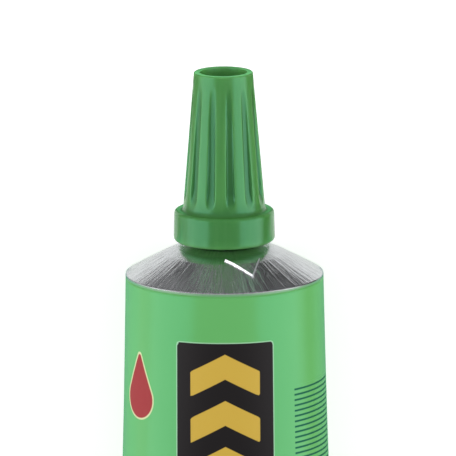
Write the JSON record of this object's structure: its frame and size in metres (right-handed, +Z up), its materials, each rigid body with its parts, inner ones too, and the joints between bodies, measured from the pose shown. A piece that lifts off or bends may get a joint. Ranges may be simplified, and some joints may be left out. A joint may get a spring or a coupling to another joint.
{
  "type": "glue gel tube",
  "caption": "Collapsible aluminium glue tube lying on its back, with a fluted screw cap over a closed nozzle, a bare conical shoulder and a folded end.",
  "frame": {"origin": "centre of the overall box on the surface that the tube lies on", "axes": "+Y along the tube towards the cap, +Z up out of the printed front, +X across the fold"},
  "size_m": [0.0386, 0.1208, 0.025],
  "materials": {
    "enamelled_aluminium": "gloss",
    "bare_aluminium": "satin",
    "latex": "matte",
    "gel": "gloss",
    "natural_polyethylene": "satin",
    "green_polypropylene": "satin",
    "foam_liner": "matte"
  },
  "bodies": {
    "tube": {"barrel": "enamelled_aluminium", "head": "bare_aluminium", "seal_band": "latex", "glue_gel": "gel", "nozzle": "natural_polyethylene"},
    "liner": {"cap_liner": "foam_liner"},
    "cap": {"cap": "green_polypropylene"}
  },
  "joints": [
    {"name": "cap_rise", "type": "slide", "parent": "tube", "child": "liner", "axis": [0, 1, 0], "range_m": [0, 0.0135]},
    {"name": "cap_turn", "type": "hinge", "parent": "liner", "child": "cap", "pos_m": [0, 0.045, 0.0125], "axis": [0, 1, 0], "range_deg": [0, 3240]}
  ],
  "couplings": [
    {"joint": "cap_turn", "follows": "cap_rise", "rad_per_m": 4188.8}
  ]
}
